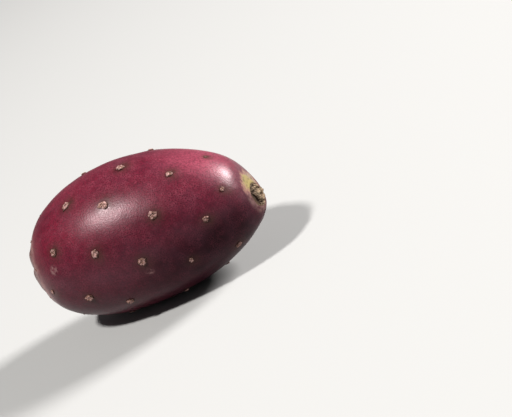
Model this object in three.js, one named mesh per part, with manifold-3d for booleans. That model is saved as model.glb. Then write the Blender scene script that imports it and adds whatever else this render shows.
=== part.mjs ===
// A whole prickly pear fruit, as picked, lying on its side.
// Millimetres, +Z up. The fruit's long axis lies along X, with the flower end at -X and the stem end at +X.
// The origin is on the surface that the fruit lies on, under the middle of its box.
// It grew as one piece, so it is one solid: the skin, its areoles, the flower cup and the stem scar.

import * as THREE from 'three';
import { mergeVertices } from 'three/addons/utils/BufferGeometryUtils.js';
import Module from 'manifold-3d';

// The body is an egg: its radius is (1 - u) ^ STEM_ROUNDNESS * (1 + u) ^ FLOWER_ROUNDNESS,
// where u runs from -1 at the flower end to 1 at the stem end. A low roundness gives a blunt end.
const GIRTH_RADIUS = 26;
const HALF_LENGTH = 43.2; // from the middle to where the egg would close
const STEM_ROUNDNESS = 0.5;
const FLOWER_ROUNDNESS = 0.4;

// Small departures from a true solid of revolution.
const LOBE_COUNT = 3;
const LOBE_HEIGHT = 0.25;
const DROOP = 1.6; // both ends hang this much below the middle
const END_FADE = 4; // how far from each end the unevenness fades out

// The cup that the flower left, and the rounded rim around it.
const RIM_OUTER_RADIUS = 12.5;
const RIM_CREST_RADIUS = 10;
const RIM_CREST_HEIGHT = 0.9;
const CUP_MOUTH_RADIUS = 8.4;
const CUP_LIP_DEPTH = 0.6;
const CUP_DEPTH = 6.4;

// The scar where the fruit left its pad: a low lip around a sunken, rough middle.
const SCAR_RADIUS = 5.4;
const SCAR_LIP_RADIUS = 4.6;
const SCAR_LIP_HEIGHT = 0.35;
const SCAR_FLOOR_RADIUS = 3.6;
const SCAR_SINK = 0.9;

// The stem end is crooked: from one place along the axis on, it turns off to -Y and down, and it is cut
// short so that the scar faces a little to -Y and up.
const STEM_BEND_START = 33;
const STEM_BEND_Y = -1.5;
const STEM_BEND_Z = -1.3;
const STEM_PULL = 0.8;
const SCAR_LEAN_FRONT = 9; // degrees
const SCAR_LEAN_UP = 9;

// Areoles follow one spiral from end to end, each a golden angle round from the last.
const GOLDEN_ANGLE = 137.508;
const AREOLE_STEP = 1.81; // along the axis, from one areole to the next
const AREOLE_START = -3.6; // where areole 0 sits along the axis
const AREOLE_TURN = 42.4; // where areole 0 sits round the axis, in degrees from the top
const FIRST_AREOLE = -18; // nearest the flower rim
const LAST_AREOLE = 21; // nearest the stem scar
const RIM_AREOLES = 8; // the small, crowded ones around the flower rim
const RIM_AREOLE_X = -38.6;
const RIM_AREOLE_TURN = 20;

// Areoles that sit off the spiral: how far along the axis, and how many degrees round it.
const STRAY_AREOLES = {
  '-18': [1.4, 8.4],
  '-13': [0.2, 4.5],
  '-8': [0.2, 5],
  '-5': [1.2, -0.6],
  '-3': [-4.6, -3],
  '-2': [-2.5, -3],
  1: [4, 25],
  3: [0.6, -2.4],
  5: [-1.9, 1.4],
  8: [0.8, 0],
  10: [-3, 2],
  11: [0.4, -4.7],
  16: [1.4, -1],
  18: [1.9, 7.5],
  21: [0, 5],
};

// One areole: a low knob with a pitted top, on a wide, gentle swelling of the skin.
const AREOLE_FOOT_RADIUS = 2;
const AREOLE_TOP_RADIUS = 1.3;
const AREOLE_HEIGHT = 0.55;
const AREOLE_PIT = 0.25;
const AREOLE_ROOT = 0.9; // how deep its foot is buried
const RIM_AREOLE_SCALE = 0.7;
const SWELLING_RADIUS = 5;
const SWELLING_HEIGHT = 0.3;

// How the fruit lies: its stem end sinks by this angle, and it rests on a small flat.
const REST_TILT = 2.2; // degrees
const REST_FLAT_DEPTH = 0.2;

// How finely the surface is faceted.
const TURNS = 54;
const SIDE_STEPS = 30;
const RIM_STEPS = 5;
const CUP_STEPS = 4;
const AREOLE_TURNS = 9;

const wasm = await Module();
wasm.setup();

const radians = THREE.MathUtils.degToRad;
const TILT_AXIS = new THREE.Vector3(0, 1, 0);

// The egg's outline, before it is scaled to the girth.
function egg(u) {
  return (1 - u) ** STEM_ROUNDNESS * (1 + u) ** FLOWER_ROUNDNESS;
}

const GIRTH_PLACE = (FLOWER_ROUNDNESS - STEM_ROUNDNESS) / (FLOWER_ROUNDNESS + STEM_ROUNDNESS);

// Radius of the plain body at a place along the axis.
function bodyRadius(x) {
  return (GIRTH_RADIUS * egg(x / HALF_LENGTH)) / egg(GIRTH_PLACE);
}

// Where the plain body has a radius, between the girth and one end (-1 flower, 1 stem), by bisection.
function bodyPlace(radius, end) {
  let inner = GIRTH_PLACE * HALF_LENGTH;
  let outer = end * HALF_LENGTH;
  for (let i = 0; i < 40; i++) {
    const middle = (inner + outer) / 2;
    if (bodyRadius(middle) > radius) inner = middle;
    else outer = middle;
  }
  return (inner + outer) / 2;
}

const RIM_X = bodyPlace(RIM_OUTER_RADIUS, -1);
const RIM_CREST_X = RIM_X - RIM_CREST_HEIGHT;
const SCAR_X = bodyPlace(SCAR_RADIUS, 1);

// Every areole's place: x along the axis, turn in degrees round it from the top, and scale.
function areolePlaces() {
  const places = [];
  for (let k = FIRST_AREOLE; k <= LAST_AREOLE; k++) {
    const [along, round] = STRAY_AREOLES[k] ?? [0, 0];
    places.push({
      x: AREOLE_START + AREOLE_STEP * k + along,
      turn: AREOLE_TURN + GOLDEN_ANGLE * k + round,
      scale: 1,
    });
  }
  for (let n = 0; n < RIM_AREOLES; n++) {
    const turn = RIM_AREOLE_TURN + (360 / RIM_AREOLES) * n;
    places.push({ x: RIM_AREOLE_X, turn, scale: RIM_AREOLE_SCALE });
  }
  return places;
}

const AREOLES = areolePlaces();

// Height of the swellings under the areoles, at a place on the skin.
function swelling(x, angle) {
  const radius = bodyRadius(x);
  let height = 0;
  for (const areole of AREOLES) {
    const across = radius * Math.sin((angle - radians(areole.turn)) / 2) * 2;
    const distance = Math.hypot(x - areole.x, across);
    if (distance < SWELLING_RADIUS) {
      height += SWELLING_HEIGHT * Math.cos((Math.PI / 2) * (distance / SWELLING_RADIUS)) ** 2;
    }
  }
  return height;
}

// A point of the solid, from its place along the axis, its plain radius and its angle from the top.
// share says how much of the skin's unevenness it takes: 1 on the side, 0 in the cup and the scar.
function bodyPoint(x, radius, angle, share) {
  const lobes = LOBE_HEIGHT * Math.cos(LOBE_COUNT * angle);
  const r = radius + share * (lobes + swelling(x, angle));
  const y = -r * Math.sin(angle);
  const z = r * Math.cos(angle);
  const bend = THREE.MathUtils.clamp((x - STEM_BEND_START) / (SCAR_X - STEM_BEND_START), 0, 1) ** 3;
  const shift = y * Math.tan(radians(SCAR_LEAN_FRONT)) - z * Math.tan(radians(SCAR_LEAN_UP)) - STEM_PULL;
  const low = z + STEM_BEND_Z * bend - DROOP * (x / HALF_LENGTH) ** 2;
  return new THREE.Vector3(x + shift * bend, y + STEM_BEND_Y * bend, low).applyAxisAngle(TILT_AXIS, radians(REST_TILT));
}

// How much of the unevenness the side takes: all of it, but none at its two ends.
function sideShare(x) {
  return THREE.MathUtils.clamp(Math.min(x - RIM_X, SCAR_X - x) / END_FADE, 0, 1);
}

function skinPoint(x, angle) {
  return bodyPoint(x, bodyRadius(x), angle, sideShare(x));
}

// The half outline, from the middle of the flower cup to the middle of the stem scar.
function outline() {
  const mouth = RIM_CREST_X + CUP_LIP_DEPTH;
  const points = [new THREE.Vector2(0, RIM_CREST_X + CUP_DEPTH)];
  for (let i = 1; i < CUP_STEPS; i++) {
    const angle = (Math.PI / 2) * (i / CUP_STEPS);
    const depth = (CUP_DEPTH - CUP_LIP_DEPTH) * Math.cos(angle);
    points.push(new THREE.Vector2(CUP_MOUTH_RADIUS * Math.sin(angle), mouth + depth));
  }
  const crest = new THREE.QuadraticBezierCurve(
    new THREE.Vector2(CUP_MOUTH_RADIUS, mouth),
    new THREE.Vector2(RIM_CREST_RADIUS, RIM_CREST_X - RIM_CREST_HEIGHT),
    new THREE.Vector2(RIM_OUTER_RADIUS, RIM_X),
  );
  points.push(...crest.getPoints(RIM_STEPS).slice(0, -1));
  for (let i = 0; i <= SIDE_STEPS; i++) {
    const share = (1 - Math.cos((Math.PI * i) / SIDE_STEPS)) / 2;
    const x = THREE.MathUtils.lerp(RIM_X, SCAR_X, share);
    points.push(new THREE.Vector2(bodyRadius(x), x));
  }
  points.push(
    new THREE.Vector2(SCAR_LIP_RADIUS, SCAR_X + SCAR_LIP_HEIGHT),
    new THREE.Vector2(SCAR_FLOOR_RADIUS, SCAR_X - SCAR_SINK / 2),
    new THREE.Vector2(0, SCAR_X - SCAR_SINK),
  );
  return points;
}

// A closed geometry as a solid that can be joined and cut.
function toSolid(geometry) {
  geometry.deleteAttribute('normal');
  geometry.deleteAttribute('uv');
  const merged = mergeVertices(geometry, 1e-3);
  return new wasm.Manifold(
    new wasm.Mesh({
      numProp: 3,
      vertProperties: merged.attributes.position.array,
      triVerts: new Uint32Array(merged.index.array),
    }),
  );
}

function toGeometry(solid) {
  const mesh = solid.getMesh();
  const geometry = new THREE.BufferGeometry();
  geometry.setAttribute('position', new THREE.BufferAttribute(mesh.vertProperties, 3));
  geometry.setIndex(new THREE.BufferAttribute(mesh.triVerts, 1));
  geometry.computeVertexNormals();
  return geometry;
}

// The body: the outline turned round the axis, then made uneven.
function makeBody() {
  const geometry = new THREE.LatheGeometry(outline(), TURNS);
  geometry.rotateZ(-Math.PI / 2);
  const position = geometry.attributes.position;
  for (let i = 0; i < position.count; i++) {
    const x = position.getX(i);
    const y = position.getY(i);
    const z = position.getZ(i);
    const radius = Math.hypot(y, z);
    const onSide = x > RIM_X && x < SCAR_X && radius > bodyRadius(x) - 1e-3;
    const point = bodyPoint(x, radius, Math.atan2(-y, z), onSide ? sideShare(x) : 0);
    position.setXYZ(i, point.x, point.y, point.z);
  }
  return geometry;
}

// One areole as a small knob, standing on +Y with its foot buried.
function makeAreole() {
  const profile = [
    new THREE.Vector2(0, -AREOLE_ROOT),
    new THREE.Vector2(AREOLE_FOOT_RADIUS, -AREOLE_ROOT / 2),
    new THREE.Vector2(AREOLE_TOP_RADIUS, AREOLE_HEIGHT),
    new THREE.Vector2(0, AREOLE_HEIGHT - AREOLE_PIT),
  ];
  return new THREE.LatheGeometry(profile, AREOLE_TURNS);
}

// Puts an areole on the skin, standing square to it.
function seatAreole({ x, turn, scale }) {
  const angle = radians(turn);
  const step = 0.5;
  const seat = skinPoint(x, angle);
  const along = skinPoint(x + step, angle).sub(skinPoint(x - step, angle));
  const round = skinPoint(x, angle + step / 10).sub(skinPoint(x, angle - step / 10));
  const outward = along.cross(round).normalize();
  const turned = new THREE.Quaternion().setFromUnitVectors(new THREE.Vector3(0, 1, 0), outward);
  const placed = new THREE.Matrix4().compose(seat, turned, new THREE.Vector3().setScalar(scale));
  return toSolid(makeAreole().applyMatrix4(placed));
}

// What the surface that the fruit lies on takes off: a thin slice under the lowest point of the body.
function makeSurface(body) {
  body.computeBoundingBox();
  const size = 4 * GIRTH_RADIUS;
  const top = body.boundingBox.min.z + REST_FLAT_DEPTH;
  return new THREE.BoxGeometry(size, size, size).translate(0, 0, top - size / 2);
}

// Moves the fruit so that the origin is under the middle of its box, on the surface.
function standOnOrigin(geometry) {
  geometry.computeBoundingBox();
  const { min, max } = geometry.boundingBox;
  return geometry.translate(-(min.x + max.x) / 2, -(min.y + max.y) / 2, -min.z);
}

function makeFruit() {
  const body = makeBody();
  const surface = toSolid(makeSurface(body));
  const whole = AREOLES.reduce((solid, areole) => solid.add(seatAreole(areole)), toSolid(body));
  const skin = new THREE.MeshStandardMaterial({ color: 0x6b1f38, roughness: 0.4, metalness: 0 });
  const fruit = new THREE.Mesh(standOnOrigin(toGeometry(whole.subtract(surface))), skin);
  fruit.name = 'fruit';
  return fruit;
}

const group = new THREE.Group();
group.add(makeFruit());

export default group;
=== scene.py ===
# A whole prickly pear fruit, as picked, lying on its side.
# Metres, +Z up. Its flower end is at -X and its stem end at +X, and it rests on the floor at Z = 0.

import random
from functools import lru_cache
from math import atan2, cos, exp, hypot, pi, radians, sin, tan

import bmesh
import bpy
from mathutils import Matrix, Vector, noise


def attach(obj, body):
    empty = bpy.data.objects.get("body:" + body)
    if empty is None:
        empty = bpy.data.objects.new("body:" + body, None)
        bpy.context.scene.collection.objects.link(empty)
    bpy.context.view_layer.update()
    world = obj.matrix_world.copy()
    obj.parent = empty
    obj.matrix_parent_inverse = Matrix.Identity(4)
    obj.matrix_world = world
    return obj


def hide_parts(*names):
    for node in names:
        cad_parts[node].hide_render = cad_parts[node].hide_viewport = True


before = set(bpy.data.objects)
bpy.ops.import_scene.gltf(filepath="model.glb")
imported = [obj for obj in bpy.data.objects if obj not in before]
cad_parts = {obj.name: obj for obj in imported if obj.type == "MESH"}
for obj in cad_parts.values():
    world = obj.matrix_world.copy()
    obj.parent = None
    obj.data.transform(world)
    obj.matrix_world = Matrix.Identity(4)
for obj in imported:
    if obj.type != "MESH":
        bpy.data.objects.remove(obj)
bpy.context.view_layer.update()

# ---- Skin -----------------------------------------------------------------------------------
# The whole outside of the fruit: a thick, leathery skin with a waxy bloom, which grew in one piece.
# Half an outline is spun round the axis, from the floor of the flower cup, over its rim and along
# the side to the stem scar. Then the shell is bowed, swollen under each areole and laid down.

GIRTH_RADIUS = 0.026
HALF_LENGTH = 0.0432
STEM_ROUNDNESS = 0.5
FLOWER_ROUNDNESS = 0.4
LOBE_COUNT = 3
LOBE_HEIGHT = 0.00025
DROOP = 0.0016
END_FADE = 0.004

RIM_OUTER_RADIUS = 0.0125
RIM_CREST_RADIUS = 0.010
RIM_CREST_HEIGHT = 0.0009
CUP_MOUTH_RADIUS = 0.0084
CUP_LIP_DEPTH = 0.0006
CUP_DEPTH = 0.0064
SCALLOPS = 8
SCALLOP_TURN = radians(35.5)
SCALLOP_DEPTH = 0.0011
SCALLOP_REACH = 0.0030
LOBE_BLUNTNESS = 0.6
RIM_LUMPS = 0.08
RIM_LUMP_SCALE = 330
RIM_LEAN = 0.0007
RIM_TINGE_REACH = 0.0062
CUP_INNER_SHARE = 0.7
CUP_EDGE_IN = 0.0004
CUP_EDGE_OUT = 0.0006

SCAR_RADIUS = 0.0054
SCAR_LIP_RADIUS = 0.0046
SCAR_LIP_HEIGHT = 0.00035
SCAR_FLOOR_RADIUS = 0.0036
SCAR_SINK = 0.0009
SCAR_RAGGEDNESS = 0.16
SCAR_RAG_SCALE = 1.3
SCAR_RAG_SLICE = 5
SCAR_EDGE_WIDTH = 0.0005
SCAR_EDGE_REACH = 0.002
LIP_REACH = 0.0012
STEM_END_REACH = 0.004
STEM_BEND_START = 0.033
STEM_BEND_Y = -0.0015
STEM_BEND_Z = -0.0013
STEM_PULL = 0.0008
SCAR_LEAN_FRONT = radians(9)
SCAR_LEAN_UP = radians(9)
WRINKLES = 15
WRINKLE_HEIGHT = 0.00014
WRINKLE_BACK = 0.0012
WRINKLE_REACH = 0.0022
WRINKLE_WANDER = 5
WANDER_SCALE = 150
DENT_HEIGHT = 0.00022
DENT_SCALE = 70
RIPPLE_HEIGHT = 0.00002
RIPPLE_SCALE = 260

SWELLING_RADIUS = 0.005
SWELLING_HEIGHT = 0.00014
GROOVE_DEPTH = 0.00006
GROOVE_WIDTH = 0.0006
HALO_REACH = 0.008
HALO_SHIFT = 0.0007
HALO_MARGIN = 0.0008
HALO_SPREAD = 1.4

# Faint rings where an areole has healed over: x, turn and radius.
HEALED_WIDTH = 0.0006
HEALED_SCARS = [
    (0.0030, radians(103), 0.0006), (-0.0296, radians(74), 0.0010), (0.0115, radians(250), 0.0007),
]

UNRIPE_TURN = radians(-8)
UNRIPE_DEPTH = 0.0030
UNRIPE_WIDTH = 0.0053
REST_TILT = radians(2.2)
MIDDLE = Vector((-0.00046, -0.0001, 0.0254))  # where the middle of its axis lies

SKIN_TURNS = 256
SIDE_STEPS = 170
CUP_STEPS = 26
CREST_STEPS = 14
SCAR_STEPS = 8
HALVINGS = 40
WELD_DISTANCE = 1e-7
SIDE_SLACK = 1e-6


def egg(u):
    """The body's outline, before it is scaled to the girth. u runs from -1 to 1 along it."""
    return (1 - u) ** STEM_ROUNDNESS * (1 + u) ** FLOWER_ROUNDNESS


GIRTH_PLACE = (FLOWER_ROUNDNESS - STEM_ROUNDNESS) / (FLOWER_ROUNDNESS + STEM_ROUNDNESS)


@lru_cache(maxsize=None)
def body_radius(x):
    u = max(-1.0, min(1.0, x / HALF_LENGTH))
    return GIRTH_RADIUS * egg(u) / egg(GIRTH_PLACE)


def body_place(radius, end):
    """Where the body has a radius, between the girth and one end: -1 flower, 1 stem."""
    inner, outer = GIRTH_PLACE * HALF_LENGTH, end * HALF_LENGTH
    for _ in range(HALVINGS):
        middle = (inner + outer) / 2
        if body_radius(middle) > radius:
            inner = middle
        else:
            outer = middle
    return (inner + outer) / 2


RIM_X = body_place(RIM_OUTER_RADIUS, -1)
RIM_CREST_X = RIM_X - RIM_CREST_HEIGHT
SCAR_X = body_place(SCAR_RADIUS, 1)

# Areoles follow one spiral from end to end, each a golden angle round from the last.
GOLDEN_ANGLE = radians(137.508)
AREOLE_STEP = 0.00181
AREOLE_START = -0.0036
AREOLE_TURN = radians(42.4)
FIRST_AREOLE = -18
LAST_AREOLE = 21
RIM_AREOLES = 8
RIM_AREOLE_X = -0.0386
RIM_AREOLE_TURN = radians(20)
AREOLE_SEED = 5

# Areoles that sit off the spiral: millimetres along the axis, and degrees round it.
STRAY_AREOLES = {
    -18: (1.4, 8.4), -13: (0.2, 4.5), -8: (0.2, 5), -5: (1.2, -0.6), -3: (-4.6, -3), -2: (-2.5, -3),
    1: (4, 25), 3: (0.6, -2.4), 5: (-1.9, 1.4), 8: (0.8, 0), 10: (-3, 2), 11: (0.4, -4.7),
    16: (1.4, -1), 18: (1.9, 7.5), 21: (0, 5),
}

# The pads that are plain to see: half width in millimetres, how narrow they are, how far they are
# turned, how pale their middle is and how pale they are as a whole. Chance settles the rest,
# each measure within its span in CHANCE_PAD.
PADS = {
    -18: (0.95, 0.75, 60, 0.9, 0.9), -16: (0.3, 0.8, 0, 0.6, 0.5), -15: (0.4, 0.8, 0, 0.6, 0.5),
    -13: (1.45, 0.95, 0, 0.3, 1.0), -10: (1.5, 0.85, 20, 0.5, 1.0), -8: (1.6, 0.75, 35, 0.45, 0.95),
    -5: (1.5, 0.85, 60, 0.7, 1.0), -3: (1.0, 0.7, 0, 0.5, 0.7), -2: (1.4, 0.8, 10, 0.7, 1.0),
    0: (1.95, 0.62, -26, 0.85, 0.95), 3: (1.5, 0.9, 0, 0.4, 1.0), 5: (1.6, 0.65, -20, 0.7, 0.95),
    8: (1.55, 0.85, 40, 0.9, 0.58), 10: (1.0, 0.8, 0, 0.4, 0.7), 11: (1.0, 0.8, 60, 0.4, 0.8),
    13: (1.15, 0.8, 10, 0.9, 1.0), 16: (1.1, 0.9, 0, 1.0, 0.48), 18: (0.6, 0.8, 0, 0.2, 0.3),
    21: (0.95, 0.7, 60, 0.5, 0.65),
}
CHANCE_PAD = ((0.9, 1.4), (0.7, 0.95), (0, 180), (0.2, 0.8), (0.7, 1.0))
RIM_PAD_SIZE = (0.45, 0.7)
RIM_PAD_SQUEEZE = 0.8
RIM_PAD_FILLING = 0.8
RIM_PAD_PALENESS = 0.85


class Areole:
    """One areole's place on the skin, and its corky pad."""

    def __init__(self, number, x, turn, pad):
        self.number = number
        self.x = x
        self.turn = turn
        self.radius = pad[0] / 1000
        self.squeeze = pad[1]
        self.pad_turn = radians(pad[2])
        self.filling = pad[3]
        self.paleness = pad[4]


def grow_areoles():
    chance = random.Random(AREOLE_SEED)
    areoles = []
    for number in range(FIRST_AREOLE, LAST_AREOLE + 1):
        along, around = STRAY_AREOLES.get(number, (0, 0))
        x = AREOLE_START + AREOLE_STEP * number + along / 1000
        turn = AREOLE_TURN + GOLDEN_ANGLE * number + radians(around)
        pad = [chance.uniform(*span) for span in CHANCE_PAD]
        areoles.append(Areole(number, x, turn, PADS.get(number, pad)))
    for step in range(RIM_AREOLES):
        turn = RIM_AREOLE_TURN + 2 * pi * step / RIM_AREOLES
        size, pad_turn = chance.uniform(*RIM_PAD_SIZE), chance.uniform(0, 180)
        pad = (size, RIM_PAD_SQUEEZE, pad_turn, RIM_PAD_FILLING, RIM_PAD_PALENESS)
        areoles.append(Areole(LAST_AREOLE + 1 + step, RIM_AREOLE_X, turn, pad))
    return areoles


AREOLES = grow_areoles()


def distance_to(areole, x, angle):
    across = 2 * body_radius(x) * sin((angle - areole.turn) / 2)
    return hypot(x - areole.x, across)


def near(value, middle, reach):
    """1 at the middle, fading smoothly to nothing over the reach."""
    return exp(-((value - middle) / reach) ** 2)


def ramp(value, low, high):
    """0 up to low, 1 from high on, and a smooth climb between them."""
    t = max(0.0, min(1.0, (value - low) / (high - low)))
    return t * t * (3 - 2 * t)


def side_share(x):
    """How much of the unevenness the side takes: all of it, but none at its two ends."""
    return max(0.0, min(1.0, min(x - RIM_X, SCAR_X - x) / END_FADE))


def skin_relief(x, angle):
    """How far the skin stands out from the plain body."""
    height = LOBE_HEIGHT * cos(LOBE_COUNT * angle)
    for areole in AREOLES:
        if abs(x - areole.x) < SWELLING_RADIUS:
            distance = distance_to(areole, x, angle)
            if distance < SWELLING_RADIUS:
                height += SWELLING_HEIGHT * cos(pi / 2 * distance / SWELLING_RADIUS) ** 2
                height -= GROOVE_DEPTH * near(distance, areole.radius, GROOVE_WIDTH)
    place = Vector((x, body_radius(x) * sin(angle), body_radius(x) * cos(angle)))
    height += DENT_HEIGHT * noise.noise(place * DENT_SCALE)
    height += RIPPLE_HEIGHT * noise.noise(place * RIPPLE_SCALE)
    wave = cos(WRINKLES * angle + WRINKLE_WANDER * noise.noise(place * WANDER_SCALE))
    height += WRINKLE_HEIGHT * wave * near(x, SCAR_X - WRINKLE_BACK, WRINKLE_REACH)
    return height * side_share(x)


def body_point(x, radius, angle):
    """A point of the bowed body, laid down in its place in the frame."""
    y = -radius * sin(angle)
    z = radius * cos(angle)
    bend = max(0.0, min(1.0, (x - STEM_BEND_START) / (SCAR_X - STEM_BEND_START))) ** 3
    shift = y * tan(SCAR_LEAN_FRONT) - z * tan(SCAR_LEAN_UP) - STEM_PULL
    low = z + STEM_BEND_Z * bend - DROOP * (x / HALF_LENGTH) ** 2
    bowed = Vector((x + shift * bend, y + STEM_BEND_Y * bend, low))
    return Matrix.Rotation(REST_TILT, 3, "Y") @ bowed + MIDDLE


def skin_point(x, angle):
    return body_point(x, body_radius(x) + skin_relief(x, angle), angle)


def curve_between(start, pull, end, steps):
    """Points along a quadratic curve from start towards end, without its last point."""
    points = []
    for step in range(steps):
        t = step / steps
        point = [(1 - t) ** 2 * a + 2 * t * (1 - t) * b + t * t * c for a, b, c in zip(start, pull, end)]
        points.append(tuple(point))
    return points


def skin_outline():
    """Half the outline, as (x, radius), from the middle of the cup to the middle of the scar."""
    mouth = RIM_CREST_X + CUP_LIP_DEPTH
    outline = []
    for step in range(CUP_STEPS):
        angle = pi / 2 * step / CUP_STEPS
        depth = (CUP_DEPTH - CUP_LIP_DEPTH) * cos(angle)
        outline.append((mouth + depth, CUP_MOUTH_RADIUS * sin(angle)))
    crest_pull = (RIM_CREST_X - RIM_CREST_HEIGHT, RIM_CREST_RADIUS)
    outline += curve_between((mouth, CUP_MOUTH_RADIUS), crest_pull, (RIM_X, RIM_OUTER_RADIUS), CREST_STEPS)
    for step in range(SIDE_STEPS):
        even = step / SIDE_STEPS
        share = (even + (1 - cos(pi * even)) / 2) / 2
        x = RIM_X + (SCAR_X - RIM_X) * share
        outline.append((x, body_radius(x)))
    lip_pull = (SCAR_X + 2 * SCAR_LIP_HEIGHT, SCAR_LIP_RADIUS)
    floor = (SCAR_X - SCAR_SINK / 2, SCAR_FLOOR_RADIUS)
    outline += curve_between((SCAR_X, SCAR_RADIUS), lip_pull, floor, SCAR_STEPS)
    centre = (SCAR_X - SCAR_SINK, 0)
    outline += curve_between(floor, (SCAR_X - SCAR_SINK, SCAR_FLOOR_RADIUS / 2), centre, SCAR_STEPS)
    outline.append(centre)
    return outline


def scallop(angle):
    """How far the rim is notched here: nothing on its lobes, and deepest in the gaps between them."""
    lobe = abs(cos(SCALLOPS / 2 * (angle - SCALLOP_TURN)))
    return SCALLOP_DEPTH * (1 - lobe ** LOBE_BLUNTNESS) - RIM_LEAN * cos(angle - SCALLOP_TURN)


def halo_at(x, angle):
    """How much the skin has darkened here around an areole. Each halo lies a little to one side."""
    dark = 0.0
    for areole in AREOLES:
        if abs(x - areole.x) < HALO_REACH:
            lean = areole.number * GOLDEN_ANGLE
            aside = angle - HALO_SHIFT / body_radius(x) * sin(lean)
            distance = distance_to(areole, x - HALO_SHIFT * cos(lean), aside)
            dark = max(dark, near(distance, 0, HALO_MARGIN + HALO_SPREAD * areole.radius))
    return dark


def healed_at(x, angle):
    """How much of a healed scar lies here."""
    scar = 0.0
    for scar_x, turn, radius in HEALED_SCARS:
        distance = hypot(x - scar_x, 2 * body_radius(x) * sin((angle - turn) / 2))
        scar = max(scar, near(distance, radius, HEALED_WIDTH))
    return scar


def unripe_at(radius, angle):
    """How unripe the skin still is: most along the upper edge of the stem scar."""
    around = 2 * SCAR_RADIUS * sin((angle - UNRIPE_TURN) / 2)
    return near(hypot((radius - SCAR_RADIUS) / UNRIPE_DEPTH, around / UNRIPE_WIDTH), 0, 1)


def scar_edge(angle):
    """The ragged outline of the scar, as a share of its plain radius."""
    across, up = cos(angle) * SCAR_RAG_SCALE, sin(angle) * SCAR_RAG_SCALE
    return 1 + SCAR_RAGGEDNESS * noise.noise(Vector((across, up, SCAR_RAG_SLICE)))


MASKS = ("halo", "healed", "cup", "depth", "rim", "scar", "lip", "unripe")


def shape_side(vert, masks, x, radius, angle):
    """Gives the side its unevenness and marks its stains. Returns the new radius."""
    vert[masks["halo"]] = halo_at(x, angle)
    vert[masks["healed"]] = healed_at(x, angle)
    return radius + skin_relief(x, angle)


def shape_rim(vert, masks, x, radius, angle):
    """Notches the rim of the cup, makes it lumpy and marks it. Returns the new x and radius."""
    crest = near(radius, RIM_CREST_RADIUS, SCALLOP_REACH) * near(x, RIM_X, SCALLOP_REACH)
    radius *= 1 + RIM_LUMPS * noise.noise(vert.co * RIM_LUMP_SCALE) * crest
    x += scallop(angle) * crest
    vert[masks["rim"]] = 1 - ramp(x, RIM_X, RIM_X + RIM_TINGE_REACH)
    return x, radius


def mark_cup(vert, masks, x, radius):
    lining_edge = (CUP_MOUTH_RADIUS - CUP_EDGE_IN, RIM_CREST_RADIUS + CUP_EDGE_OUT)
    vert[masks["cup"]] = 1 - ramp(radius, *lining_edge)
    vert[masks["depth"]] = ramp(x, RIM_CREST_X, RIM_CREST_X + CUP_DEPTH)


def shape_stem_end(vert, masks, radius, angle):
    """Makes the edge of the scar ragged, and marks it and its lip. Returns the new radius."""
    edge = scar_edge(angle)
    radius *= 1 + (edge - 1) * near(radius, SCAR_RADIUS, SCAR_EDGE_REACH)
    lip_radius = SCAR_LIP_RADIUS * edge
    vert[masks["scar"]] = 1 - ramp(radius, lip_radius - SCAR_EDGE_WIDTH, lip_radius)
    vert[masks["lip"]] = near(radius, SCAR_RADIUS * edge, LIP_REACH)
    vert[masks["unripe"]] = unripe_at(radius, angle)
    return radius


def finish_mesh(bm, name):
    mesh = bpy.data.meshes.new(name)
    bm.to_mesh(mesh)
    bm.free()
    mesh.shade_smooth()
    return mesh


def make_skin_mesh():
    bm = bmesh.new()
    verts = [bm.verts.new((x, 0, radius)) for x, radius in skin_outline()]
    edges = [bm.edges.new(pair) for pair in zip(verts, verts[1:])]
    bmesh.ops.spin(
        bm, geom=verts + edges, cent=(0, 0, 0), axis=(1, 0, 0),
        angle=2 * pi, steps=SKIN_TURNS, use_merge=True,
    )
    bmesh.ops.remove_doubles(bm, verts=bm.verts, dist=WELD_DISTANCE)
    bmesh.ops.recalc_face_normals(bm, faces=bm.faces)
    masks = {name: bm.verts.layers.float.new(name) for name in MASKS}
    for vert in bm.verts:
        x, y, z = vert.co
        radius = hypot(y, z)
        angle = atan2(-y, z)
        on_side = RIM_X < x < SCAR_X and radius > body_radius(x) - SIDE_SLACK
        if on_side:
            radius = shape_side(vert, masks, x, radius, angle)
        if x < 0 and (on_side or radius > CUP_MOUTH_RADIUS * CUP_INNER_SHARE):
            x, radius = shape_rim(vert, masks, x, radius, angle)
        if x < 0 and not on_side:
            mark_cup(vert, masks, x, radius)
        if x > 0 and radius < SCAR_RADIUS + STEM_END_REACH:
            radius = shape_stem_end(vert, masks, radius, angle)
        vert.co = body_point(x, radius, angle)
        vert.co.z = max(vert.co.z, 0)
    return finish_mesh(bm, "skin")


def place_node(tree, kind, inputs, **settings):
    """Adds a shader node. An input given as a socket is linked, and any other is set."""
    node = tree.nodes.new(kind)
    for name, value in settings.items():
        setattr(node, name, value)
    for name, value in inputs.items():
        if isinstance(value, bpy.types.NodeSocket):
            tree.links.new(value, node.inputs[name])
        else:
            node.inputs[name].default_value = value
    return node


def mix_colours(tree, share, first, second):
    """The socket of a colour that goes from the first to the second."""
    node = place_node(tree, "ShaderNodeMix", {0: share, 6: first, 7: second}, data_type="RGBA")
    return node.outputs[2]


def add(tree, first, second):
    return place_node(tree, "ShaderNodeMath", {0: first, 1: second}, operation="ADD").outputs[0]


def times(tree, first, second):
    return place_node(tree, "ShaderNodeMath", {0: first, 1: second}, operation="MULTIPLY").outputs[0]


def climb(tree, value, start, end):
    """0 where the value is at start, 1 where it is at end, and a smooth climb between them."""
    edges = {"Value": value, "From Min": start, "From Max": end}
    return place_node(tree, "ShaderNodeMapRange", edges, interpolation_type="SMOOTHSTEP").outputs["Result"]


def axes_of(tree, vector):
    """The X, Y and Z sockets of a vector."""
    return place_node(tree, "ShaderNodeSeparateXYZ", {"Vector": vector}).outputs


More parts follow.
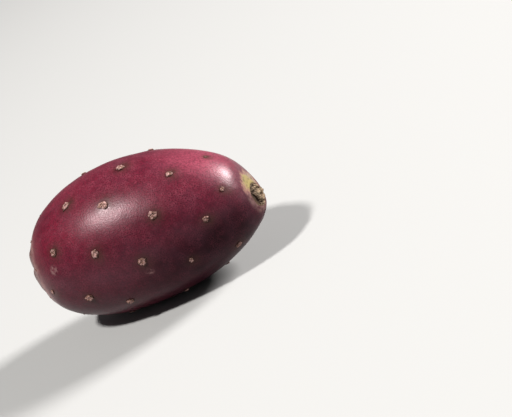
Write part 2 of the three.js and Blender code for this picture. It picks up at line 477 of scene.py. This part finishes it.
def start_group(name, inputs, output, kind):
    """A new node group, the sockets of what it is given, and the socket for what it gives."""
    tree = bpy.data.node_groups.new(name, "ShaderNodeTree")
    for socket, socket_kind in inputs:
        tree.interface.new_socket(socket, in_out="INPUT", socket_type="NodeSocket" + socket_kind)
    tree.interface.new_socket(output, in_out="OUTPUT", socket_type="NodeSocket" + kind)
    given = tree.nodes.new("NodeGroupInput").outputs
    result = tree.nodes.new("NodeGroupOutput").inputs[output]
    return tree, given, result


def make_grain_group():
    """Soft-edged grains of one size on any surface: 1 on the grains and 0 between them."""
    inputs = (("Vector", "Vector"), ("Fineness", "Float"), ("Cover", "Float"), ("Softness", "Float"))
    tree, given, mask = start_group("grain", inputs, "Mask", "Float")
    settings = {"Vector": given["Vector"], "Scale": given["Fineness"], "Detail": 3.0, "Roughness": 0.55}
    cloud = place_node(tree, "ShaderNodeTexNoise", settings)
    middle = add(tree, times(tree, given["Cover"], -1.0), 1.0)
    low = add(tree, middle, times(tree, given["Softness"], -1.0))
    high = add(tree, middle, given["Softness"])
    tree.links.new(climb(tree, cloud.outputs["Fac"], low, high), mask)
    return tree


GRAIN = make_grain_group()


def grain(tree, vector, fineness, cover, softness):
    """Grains: how many fit in a metre, the share they cover and how soft their edges are."""
    inputs = {"Vector": vector, "Fineness": fineness, "Cover": cover, "Softness": softness}
    return place_node(tree, "ShaderNodeGroup", inputs, node_tree=GRAIN).outputs["Mask"]


def start_material(name):
    """A new material, its node tree, its Principled shader and its Object coordinates."""
    material = bpy.data.materials.new(name)
    material.use_nodes = True
    tree = material.node_tree
    shader = tree.nodes["Principled BSDF"]
    place = tree.nodes.new("ShaderNodeTexCoord").outputs["Object"]
    return material, tree, shader, place


def read_mask(tree, name):
    return place_node(tree, "ShaderNodeAttribute", {}, attribute_name=name).outputs["Fac"]


CRIMSON = (0.142, 0.0050, 0.0205, 1)
MAROON = (0.068, 0.0060, 0.0155, 1)
PLUM = (0.014, 0.0022, 0.0050, 1)
PAINTED_LIGHT_PINK = (0.235, 0.038, 0.066, 1)
NET_PINK = (0.230, 0.045, 0.070, 1)
BLOOM_GREY = (0.080, 0.040, 0.058, 1)

# Where each tint starts and where it is full: along the fruit (X), across it (Y) or up it (Z).
SHADE_ALONG = (-0.016, 0.018)
SHADE_UP = (0.032, 0.020)
CRIMSON_ALONG = (0.006, -0.024)
CRIMSON_UP = (0.026, 0.042)
PAINTED_LIGHT_ALONG = (0.010, 0.032)
PAINTED_LIGHT_ACROSS = (-0.014, -0.006)
PAINTED_LIGHT_UP = (0.030, 0.040)
NET_UP = (0.024, 0.042)


def low_stem_end_painted_shade(tree, place):
    """1 low on the stem end and 0 elsewhere: a darker plum skin there, with painted shade laid over it,
    and less shine.
    """
    axes = axes_of(tree, place)
    return times(tree, climb(tree, axes["X"], *SHADE_ALONG), climb(tree, axes["Z"], *SHADE_UP))


def grow_colour(tree, place):
    """The skin's colour: crimson towards the flower end and over the top, a paler pink of painted light on
    top of the stem half, and plum low on the stem end, partly its own darker skin and partly painted
    shade.
    """
    axes = axes_of(tree, place)
    clouds = times(tree, add(tree, grain(tree, place, 55.0, 0.5, 0.28), -0.5), 0.35)
    clouds = add(tree, clouds, times(tree, add(tree, grain(tree, place, 140.0, 0.5, 0.25), -0.5), 0.30))
    flowerward = add(tree, times(tree, climb(tree, axes["X"], *CRIMSON_ALONG), 0.65), 0.35)
    crimson = times(tree, add(tree, flowerward, clouds), climb(tree, axes["Z"], *CRIMSON_UP))
    colour = mix_colours(tree, crimson, MAROON, CRIMSON)
    # Painted light: a paler pink on top of the stem half, away from the front, stands in for light from
    # the lamp above and behind.
    painted_light = times(tree, climb(tree, axes["X"], *PAINTED_LIGHT_ALONG), climb(tree, axes["Z"], *PAINTED_LIGHT_UP))
    painted_light = times(tree, painted_light, climb(tree, axes["Y"], *PAINTED_LIGHT_ACROSS))
    painted_light = add(tree, times(tree, painted_light, 0.9), times(tree, clouds, painted_light))
    colour = mix_colours(tree, painted_light, colour, PAINTED_LIGHT_PINK)
    # Low on the stem end the colour goes to plum: partly the skin's own darker colour, partly painted
    # shade.
    shade = times(tree, low_stem_end_painted_shade(tree, place), 0.85)
    colour = mix_colours(tree, add(tree, shade, times(tree, clouds, 0.8)), colour, PLUM)
    return colour, climb(tree, axes["Z"], *NET_UP)


def add_speckles(tree, place, colour, upward):
    """Dark mottling, a fine net of paler lines and dusty patches of waxy bloom."""
    mottle = grain(tree, place, 1700.0, 0.5, 0.14)
    colour = mix_colours(tree, times(tree, mottle, 0.50), colour, PLUM)
    spacing = {"Vector": place, "Scale": 1500.0}
    cells = place_node(tree, "ShaderNodeTexVoronoi", spacing, feature="DISTANCE_TO_EDGE")
    lines = climb(tree, cells.outputs["Distance"], 0.16, 0.0)
    net = times(tree, lines, grain(tree, place, 300.0, 0.5, 0.2))
    net = times(tree, net, add(tree, times(tree, upward, 0.35), 0.20))
    colour = mix_colours(tree, net, colour, NET_PINK)
    return mix_colours(tree, times(tree, grain(tree, place, 170.0, 0.45, 0.2), 0.12), colour, BLOOM_GREY)


HEALED_PINK = (0.200, 0.105, 0.105, 1)
HALO_OLIVE = (0.040, 0.016, 0.012, 1)
RIM_DULL = (0.125, 0.050, 0.052, 1)
RIM_PINK = (0.225, 0.100, 0.092, 1)
RIM_BROWN = (0.075, 0.032, 0.028, 1)
DULL_ALONG = (-0.0300, -0.0410)


def add_marks(tree, place, colour):
    """Stains round the areoles, healed scars, and the rim of the cup: pale lumps and a brown crest."""
    healed = times(tree, read_mask(tree, "healed"), grain(tree, place, 1000.0, 0.50, 0.10))
    colour = mix_colours(tree, times(tree, healed, 0.8), colour, HEALED_PINK)
    stain = add(tree, times(tree, grain(tree, place, 500.0, 0.55, 0.15), 0.5), 0.50)
    colour = mix_colours(tree, times(tree, read_mask(tree, "halo"), stain), colour, HALO_OLIVE)
    dull = climb(tree, axes_of(tree, place)["X"], *DULL_ALONG)
    dull = times(tree, dull, grain(tree, place, 220.0, 0.62, 0.35))
    colour = mix_colours(tree, times(tree, dull, 0.70), colour, RIM_DULL)
    rim = read_mask(tree, "rim")
    lumps = add(tree, rim, times(tree, add(tree, grain(tree, place, 260.0, 0.5, 0.3), -0.5), 0.5))
    lumps = times(tree, climb(tree, lumps, 0.0, 1.0), climb(tree, rim, 0.0, 0.7))
    lumps = times(tree, lumps, add(tree, times(tree, grain(tree, place, 480.0, 0.54, 0.14), 0.90), 0.15))
    colour = mix_colours(tree, lumps, colour, RIM_PINK)
    return mix_colours(tree, times(tree, climb(tree, rim, 0.80, 1.0), 0.65), colour, RIM_BROWN)


UNRIPE_YELLOW = (0.205, 0.165, 0.055, 1)
UNRIPE_TAN = (0.215, 0.140, 0.075, 1)
UNRIPE_BEIGE = (0.190, 0.135, 0.095, 1)
UNRIPE_PEACH = (0.180, 0.080, 0.065, 1)
UNRIPE_UMBER = (0.060, 0.040, 0.018, 1)
LIP_PINK = (0.190, 0.110, 0.098, 1)
BEIGE_ACROSS = (-0.001, 0.002)
YELLOW_ACROSS = (0.0025, 0.0)


def add_stem_end(tree, place, colour):
    """The unripe skin at the stem scar: yellow on its front side, tan behind and peach at its edges."""
    fine = times(tree, grain(tree, place, 1100.0, 0.5, 0.2), 0.5)
    ragged = add(tree, add(tree, grain(tree, place, 380.0, 0.5, 0.25), fine), -0.75)
    mask = read_mask(tree, "unripe")
    unripe = add(tree, mask, times(tree, times(tree, ragged, 0.36), climb(tree, mask, 0.0, 0.3)))
    behind = axes_of(tree, place)["Y"]
    colour = mix_colours(tree, times(tree, climb(tree, unripe, 0.18, 0.42), 0.85), colour, UNRIPE_PEACH)
    tan = mix_colours(tree, climb(tree, behind, *BEIGE_ACROSS), UNRIPE_TAN, UNRIPE_BEIGE)
    colour = mix_colours(tree, climb(tree, unripe, 0.36, 0.58), colour, tan)
    green = times(tree, climb(tree, unripe, 0.52, 0.78), climb(tree, behind, *YELLOW_ACROSS))
    green = times(tree, green, add(tree, times(tree, grain(tree, place, 650.0, 0.6, 0.2), 0.75), 0.2))
    colour = mix_colours(tree, green, colour, UNRIPE_YELLOW)
    lip = times(tree, read_mask(tree, "lip"), add(tree, grain(tree, place, 520.0, 0.5, 0.25), 0.2))
    lip = times(tree, lip, climb(tree, mask, 0.6, 0.2))
    colour = mix_colours(tree, times(tree, lip, 0.6), colour, LIP_PINK)
    flecks = times(tree, grain(tree, place, 620.0, 0.40, 0.10), climb(tree, unripe, 0.30, 0.60))
    return mix_colours(tree, times(tree, flecks, 0.65), colour, UNRIPE_UMBER)


CUP_TAN = (0.200, 0.112, 0.062, 1)
CUP_BROWN = (0.062, 0.028, 0.016, 1)
SCAR_BROWN = (0.045, 0.026, 0.014, 1)
FIBRE_STRETCH = 0.15


def add_hollows(tree, place, colour):
    """The fibrous lining of the flower cup, browner the deeper it lies, and the brown in the scar."""
    stretch = {"Vector": place, "Scale": (FIBRE_STRETCH, 1.0, 1.0)}
    fibres = grain(tree, place_node(tree, "ShaderNodeMapping", stretch).outputs[0], 2600.0, 0.5, 0.25)
    patches = grain(tree, place, 330.0, 0.5, 0.3)
    dark = add(tree, times(tree, fibres, 0.35), times(tree, patches, 0.35))
    dark = add(tree, dark, times(tree, read_mask(tree, "depth"), 0.45))
    lining = mix_colours(tree, climb(tree, dark, 0.1, 1.0), CUP_TAN, CUP_BROWN)
    colour = mix_colours(tree, read_mask(tree, "cup"), colour, lining)
    return mix_colours(tree, read_mask(tree, "scar"), colour, SCAR_BROWN)


SKIN_ROUGHNESS = 0.30
ROUGHNESS_SPREAD = 0.12
DRY_ROUGHNESS = 0.4
DIMPLE_SHARE = 0.25
LEATHER_DEPTH = 0.0001
SKIN_GLOSS = 0.31
SHADED_GLOSS_LOSS = 0.23
SKIN_SHINE = (1.0, 0.78, 0.83, 1)
BLOOM_SHEEN = (1.0, 0.75, 0.80, 1)


def add_wax(tree, place, shader):
    """A waxy, leathery finish: less shine low on the stem end, under the painted shade there, and dry in
    the cup and at the scar.
    """
    rough = times(tree, grain(tree, place, 2200.0, 0.5, 0.3), ROUGHNESS_SPREAD)
    rough = add(tree, rough, SKIN_ROUGHNESS)
    dry = add(tree, read_mask(tree, "cup"), add(tree, read_mask(tree, "scar"), read_mask(tree, "lip")))
    tree.links.new(add(tree, rough, times(tree, dry, DRY_ROUGHNESS)), shader.inputs["Roughness"])
    pores = place_node(tree, "ShaderNodeTexNoise", {"Vector": place, "Scale": 1700.0, "Detail": 2.0})
    dimples = place_node(tree, "ShaderNodeTexNoise", {"Vector": place, "Scale": 420.0, "Detail": 2.0})
    leather = add(tree, times(tree, dimples.outputs["Fac"], DIMPLE_SHARE), pores.outputs["Fac"])
    settings = {"Height": leather, "Strength": 0.4, "Distance": LEATHER_DEPTH}
    bump = place_node(tree, "ShaderNodeBump", settings)
    tree.links.new(bump.outputs["Normal"], shader.inputs["Normal"])
    gloss = add(tree, times(tree, low_stem_end_painted_shade(tree, place), -SHADED_GLOSS_LOSS), SKIN_GLOSS)
    tree.links.new(gloss, shader.inputs["Specular IOR Level"])
    shader.inputs["Specular Tint"].default_value = SKIN_SHINE
    shader.inputs["Sheen Weight"].default_value = 0.015
    shader.inputs["Sheen Roughness"].default_value = 0.4
    shader.inputs["Sheen Tint"].default_value = BLOOM_SHEEN


def make_skin_material():
    material, tree, shader, place = start_material("waxy_skin")
    colour, upward = grow_colour(tree, place)
    colour = add_speckles(tree, place, colour, upward)
    colour = add_marks(tree, place, colour)
    colour = add_stem_end(tree, place, colour)
    colour = add_hollows(tree, place, colour)
    tree.links.new(colour, shader.inputs["Base Color"])
    add_wax(tree, place, shader)
    return material


def put_in_scene(name, data):
    thing = bpy.data.objects.new(name, data)
    bpy.context.scene.collection.objects.link(thing)
    return thing


def add_object(name, mesh, material):
    mesh.materials.append(material)
    return put_in_scene(name, mesh)


skin = add_object("skin", make_skin_mesh(), make_skin_material())
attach(skin, "root")
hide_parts("fruit")

# ---- Areole pads ----------------------------------------------------------------------------
# Low, crumbly pads of tan cork where the spines grew, one on each areole. Each grew out of the skin
# and stands on its swelling: a broken ring of pale crumbs round a dark pit, rubbed clean of spines.
# Each crumb is painted darker towards its foot: painted shade where the crumbs meet the skin and each
# other.

PAD_CREAM = (0.385, 0.228, 0.212, 1)
PAD_TAN = (0.190, 0.100, 0.074, 1)
PAD_UMBER = (0.075, 0.034, 0.022, 1)
PAD_BROWN = (0.045, 0.017, 0.012, 1)
PAD_HEIGHT = 0.00030
FULL_PAD_RADIUS = 0.001
CRUMB_HEIGHT = 0.00050
FULL_CRUMB_WIDTH = 0.0006
FEWEST_CRUMBS = 4
CRUMB_EVERY = 0.0004
DULL_CRUMBS = 2
CRUMB_SEAT = 0.4
CRUMB_BULGES = ((1.6, 0.7), (3.7, 0.4))
CRUMB_PAINTED_SHADE_SPAN = (-0.1, 0.7)
SEAT_STEP = 0.0004
SEAT_TURN = 0.016
PAD_SEED = 100
PAD_SHIFT = 3.7
CRUMB_SHIFT = 1.9

# How the crumbs vary: how far they stray round the ring, their place out from the middle and
# their width as shares of the pad's radius, how narrow they are, and how pale they are.
CRUMB_STRAYING = (-0.3, 0.3)
CRUMB_OUT = (0.48, 0.68)
CRUMB_WIDTH = (0.24, 0.42)
CRUMB_SQUEEZE = (0.6, 1.0)
DULL_TONE = (0.35, 0.7)
PALE_TONE = (0.7, 1.0)


def seat_on_skin(x, angle):
    """A matrix that stands +Z out of the skin, with +X along the fruit."""
    point = skin_point(x, angle)
    along = (skin_point(x + SEAT_STEP, angle) - skin_point(x - SEAT_STEP, angle)).normalized()
    around = skin_point(x, angle + SEAT_TURN) - skin_point(x, angle - SEAT_TURN)
    outward = around.cross(along).normalized()
    sideways = outward.cross(along).normalized()
    return Matrix.Translation(point) @ Matrix((along, sideways, outward)).transposed().to_4x4()


def add_crumb(bm, seat, place, widths, height, tone, shift):
    """One uneven lump of cork, half sunk in what it stands on. The shift makes each one different. Its
    tone is painted darker towards its foot, as painted shade.
    """
    tone_and_painted_shade = bm.verts.layers.float["tone"]
    for vert in bmesh.ops.create_icosphere(bm, subdivisions=2, radius=1)["verts"]:
        bulge = 1 + sum(rise * noise.noise(vert.co * scale + shift) for scale, rise in CRUMB_BULGES)
        # Painted shade: the crumb's own tone fades darker low down, where it meets the skin and its
        # neighbours.
        vert[tone_and_painted_shade] = tone * ramp(vert.co.z * bulge, *CRUMB_PAINTED_SHADE_SPAN)
        flat = Vector((vert.co.x * widths[0], vert.co.y * widths[1], 0)) * bulge
        vert.co = seat @ (Vector(place) + flat + Vector((0, 0, vert.co.z * bulge * height)))


def make_pad(areole):
    chance = random.Random(PAD_SEED + areole.number)
    seat = seat_on_skin(areole.x, areole.turn) @ Matrix.Rotation(areole.pad_turn, 4, "Z")
    shift = Vector((areole.number * PAD_SHIFT, 0, 0))
    size = areole.radius
    squeeze = areole.squeeze
    height = PAD_HEIGHT * min(1.0, size / FULL_PAD_RADIUS)
    bm = bmesh.new()
    bm.verts.layers.float.new("tone")
    add_crumb(bm, seat, (0, 0, 0), (size, size * squeeze), height, areole.filling * areole.paleness, shift)
    count = round(FEWEST_CRUMBS + size / CRUMB_EVERY)
    for step in range(count):
        turn = 2 * pi * step / count + chance.uniform(*CRUMB_STRAYING)
        out = size * chance.uniform(*CRUMB_OUT)
        width = size * chance.uniform(*CRUMB_WIDTH)
        tone = areole.paleness * chance.uniform(*(DULL_TONE if step < DULL_CRUMBS else PALE_TONE))
        place = (out * cos(turn), out * sin(turn) * squeeze, height * CRUMB_SEAT)
        shift.y = step * CRUMB_SHIFT
        widths = (width, width * chance.uniform(*CRUMB_SQUEEZE))
        add_crumb(bm, seat, place, widths, CRUMB_HEIGHT * width / FULL_CRUMB_WIDTH, tone, shift)
    return bm


def make_pads_mesh():
    bm = bmesh.new()
    for areole in AREOLES:
        pad = finish_mesh(make_pad(areole), "pad")
        bm.from_mesh(pad)
        bpy.data.meshes.remove(pad)
    return finish_mesh(bm, "areole_pads")


def make_crumbly_group():
    """A rough, crumbly surface, as fine as it is told to be."""
    inputs = (("Vector", "Vector"), ("Fineness", "Float"))
    tree, given, normal = start_group("crumbly", inputs, "Normal", "Vector")
    settings = {"Vector": given["Vector"], "Scale": given["Fineness"], "Detail": 3.0}
    crumbs = place_node(tree, "ShaderNodeTexNoise", settings).outputs["Fac"]
    bump = place_node(tree, "ShaderNodeBump", {"Height": crumbs, "Strength": 0.8, "Distance": 0.0002})
    tree.links.new(bump.outputs["Normal"], normal)
    return tree


CRUMBLY = make_crumbly_group()


def make_crumbly(tree, shader, vector, fineness):
    """Roughens a dry, corky material."""
    inputs = {"Vector": vector, "Fineness": fineness}
    node = place_node(tree, "ShaderNodeGroup", inputs, node_tree=CRUMBLY)
    tree.links.new(node.outputs["Normal"], shader.inputs["Normal"])
    shader.inputs["Roughness"].default_value = 0.85
    shader.inputs["Specular IOR Level"].default_value = 0.2


def make_cork_material():
    material, tree, shader, place = start_material("areole_cork")
    dark = mix_colours(tree, grain(tree, place, 900.0, 0.5, 0.15), PAD_UMBER, PAD_BROWN)
    pale = mix_colours(tree, grain(tree, place, 1300.0, 0.48, 0.10), PAD_CREAM, PAD_TAN)
    worn = times(tree, grain(tree, place, 1500.0, 0.35, 0.08), -0.35)
    # The tone mask holds each crumb's own tone with painted shade low down; worn flecks darken it further.
    crumbled = add(tree, read_mask(tree, "tone"), worn)
    colour = mix_colours(tree, climb(tree, crumbled, 0.0, 0.75), dark, pale)
    tree.links.new(colour, shader.inputs["Base Color"])
    make_crumbly(tree, shader, place, 3000.0)
    return material


pads = add_object("areole_pads", make_pads_mesh(), make_cork_material())
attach(pads, "root")

# ---- Stem scar ------------------------------------------------------------------------------
# The ragged plug of dried tissue where the fruit was broken off its pad, with crumbled tan lumps. Its low
# cracks are painted near-black brown: painted shade over the dried tissue's own brown. It fills the sunken
# end of the skin.

SCAR_TAN = (0.250, 0.175, 0.115, 1)
SCAR_DARK = (0.026, 0.012, 0.006, 1)
SCAR_OLIVE = (0.110, 0.082, 0.050, 1)
PLUG_RADIUS = 0.0049
PLUG_HEIGHT = 0.0016
PLUG_FOOT = 0.2
PLUG_DOME = 0.35
PLUG_LOWEST = -0.3
PLUG_SHOULDER = 0.3
PLUG_CRUMBS = ((5.0, 0.40), (12.0, 0.28))
PEAK_SPAN = (-0.20, 0.60)
CREVICE_TURN = radians(100)
CREVICE_SPREAD = 0.9
CREVICE_RADIUS = 0.50
CREVICE_WIDTH = 0.20
CREVICE_DEPTH = 1.2
STRAND_WOBBLE = 0.12
WOBBLE_SCALE = 2.3
WOBBLE_SHIFT = Vector((4, 1, 9))
STRAND_NARROWNESS = 0.6
RING_WALL = 0.12
RING_PIT = 0.6

# Broken strands that stand up in the scar: each is a ring or a lump, with its place across the
# scar and its width, all as shares of the scar's radius, and its height.
STRANDS = [
    ("ring", -0.36, -0.18, 0.27, 0.75), ("lump", -0.10, 0.52, 0.22, 0.5), ("lump", -0.68, 0.42, 0.18, 0.5),
    ("lump", 0.32, 0.28, 0.15, 0.5), ("lump", -0.12, -0.74, 0.17, 0.5), ("lump", -0.88, 0.02, 0.18, 0.5),
    ("lump", -0.74, -0.52, 0.18, 0.45), ("lump", 0.16, -0.50, 0.13, 0.4),
]


def strand_height(y, z):
    """How high the broken strands stand at a place across the scar. They run from front to back."""
    height = 0.0
    for kind, middle_y, middle_z, width, rise in STRANDS:
        distance = hypot(STRAND_NARROWNESS * (y - middle_y), z - middle_z)
        if kind == "ring":
            height = max(height, rise * near(distance, width, RING_WALL))
            height -= RING_PIT * near(distance, 0, RING_WALL)
        else:
            height = max(height, rise * near(distance, 0, width))
    return height


def crevice(radius, angle):
    """How deep the crack is that runs under the strands on the front side."""
    aside = 2 * sin((angle - CREVICE_TURN) / 2)
    return near(aside, 0, CREVICE_SPREAD) * near(radius, CREVICE_RADIUS, CREVICE_WIDTH)


def make_plug_mesh():
    bm = bmesh.new()
    peak_mask = bm.verts.layers.float.new("peak")
    for vert in bmesh.ops.create_uvsphere(bm, u_segments=128, v_segments=96, radius=1)["verts"]:
        wobble = STRAND_WOBBLE * noise.noise(vert.co * WOBBLE_SCALE + WOBBLE_SHIFT)
        crumbs = sum(rise * noise.noise(vert.co * scale) for scale, rise in PLUG_CRUMBS)
        radius = hypot(vert.co.x, vert.co.y)
        angle = atan2(vert.co.y, vert.co.x)
        height = strand_height(radius * sin(angle) + wobble, radius * cos(angle) + wobble) + crumbs
        height -= CREVICE_DEPTH * crevice(radius, angle)
        # Through this mask the low places get the painted shade of the cracks.
        vert[peak_mask] = ramp(height, *PEAK_SPAN)
        crumbled = max(height, PLUG_LOWEST) * ramp(vert.co.z, 0.0, PLUG_SHOULDER)
        x = SCAR_X - SCAR_SINK + PLUG_HEIGHT * (PLUG_FOOT + PLUG_DOME * vert.co.z + crumbled)
        vert.co = body_point(x, PLUG_RADIUS * scar_edge(angle) * radius, angle)
    bmesh.ops.recalc_face_normals(bm, faces=bm.faces)
    return finish_mesh(bm, "scar_plug")


def make_plug_material():
    material, tree, shader, place = start_material("scar_cork")
    colour = mix_colours(tree, grain(tree, place, 700.0, 0.45, 0.12), SCAR_TAN, SCAR_OLIVE)
    worn = times(tree, grain(tree, place, 1500.0, 0.4, 0.1), -0.35)
    # Painted shade: the low cracks of the plug go to near-black brown.
    colour = mix_colours(tree, add(tree, read_mask(tree, "peak"), worn), SCAR_DARK, colour)
    tree.links.new(colour, shader.inputs["Base Color"])
    make_crumbly(tree, shader, place, 2500.0)
    return material


plug = add_object("scar_plug", make_plug_mesh(), make_plug_material())
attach(plug, "root")

# ---- Studio ---------------------------------------------------------------------------------
# A plain pale floor under two soft boxes: a small one high in front, and a larger one lower behind
# the stem end. The camera is rolled, because the fruit lies level here.

FLOOR_SIZE = 30.0
FLOOR_COLOUR = (0.365, 0.365, 0.362, 1)
WORLD_COLOUR = (0.9, 0.92, 0.95, 1)
WORLD_STRENGTH = 0.12
KEY_COLOUR = (1.0, 0.98, 0.95)
BACK_COLOUR = (1.0, 0.98, 0.96)
AIM = Vector((0.03564, 0.0064, 0.0136))
CAMERA_AZIMUTH = radians(16.76)
CAMERA_ELEVATION = radians(19.38)
CAMERA_ROLL = radians(28.86)
CAMERA_DISTANCE = 0.4954
LENS = 100.0


def make_floor():
    bm = bmesh.new()
    bmesh.ops.create_grid(bm, x_segments=2, y_segments=2, size=FLOOR_SIZE / 2)
    material, _, shader, _ = start_material("pale_floor")
    shader.inputs["Base Color"].default_value = FLOOR_COLOUR
    shader.inputs["Roughness"].default_value = 0.9
    shader.inputs["Specular IOR Level"].default_value = 0.1
    floor = add_object("floor", finish_mesh(bm, "floor"), material)


def hang_light(name, direction, distance, width, length, watts, colour):
    """A soft box that faces the fruit."""
    light = bpy.data.lights.new(name, "AREA")
    light.shape = "RECTANGLE"
    light.size = width
    light.size_y = length
    light.energy = watts
    light.color = colour
    away = Vector(direction).normalized()
    turned = away.to_track_quat("Z", "Y").to_matrix().to_4x4()
    lamp = put_in_scene(name, light)
    lamp.matrix_world = Matrix.Translation(MIDDLE + away * distance) @ turned


def set_camera():
    away = Vector((
        sin(CAMERA_AZIMUTH) * cos(CAMERA_ELEVATION),
        -cos(CAMERA_AZIMUTH) * cos(CAMERA_ELEVATION),
        sin(CAMERA_ELEVATION),
    ))
    right = Vector((cos(CAMERA_AZIMUTH), sin(CAMERA_AZIMUTH), 0))
    up = away.cross(right)
    turned = Matrix((
        right * cos(CAMERA_ROLL) - up * sin(CAMERA_ROLL),
        right * sin(CAMERA_ROLL) + up * cos(CAMERA_ROLL),
        away,
    )).transposed()
    data = bpy.data.cameras.new("camera")
    data.lens = LENS
    data.clip_start = 0.01
    camera = put_in_scene("camera", data)
    camera.matrix_world = Matrix.Translation(AIM + away * CAMERA_DISTANCE) @ turned.to_4x4()
    bpy.context.scene.camera = camera


def set_world():
    world = bpy.data.worlds.new("studio")
    world.use_nodes = True
    background = world.node_tree.nodes["Background"]
    background.inputs["Color"].default_value = WORLD_COLOUR
    background.inputs["Strength"].default_value = WORLD_STRENGTH
    bpy.context.scene.world = world
    bpy.context.scene.view_settings.view_transform = "Standard"


make_floor()
hang_light(
    "key_light", direction=(-0.28, -0.46, 0.84), distance=3.0,
    width=0.30, length=0.30, watts=134.0, colour=KEY_COLOUR,
)
hang_light(
    "back_light", direction=(0.80, 0.40, 0.45), distance=2.5,
    width=0.60, length=0.90, watts=161.0, colour=BACK_COLOUR,
)
set_camera()
set_world()
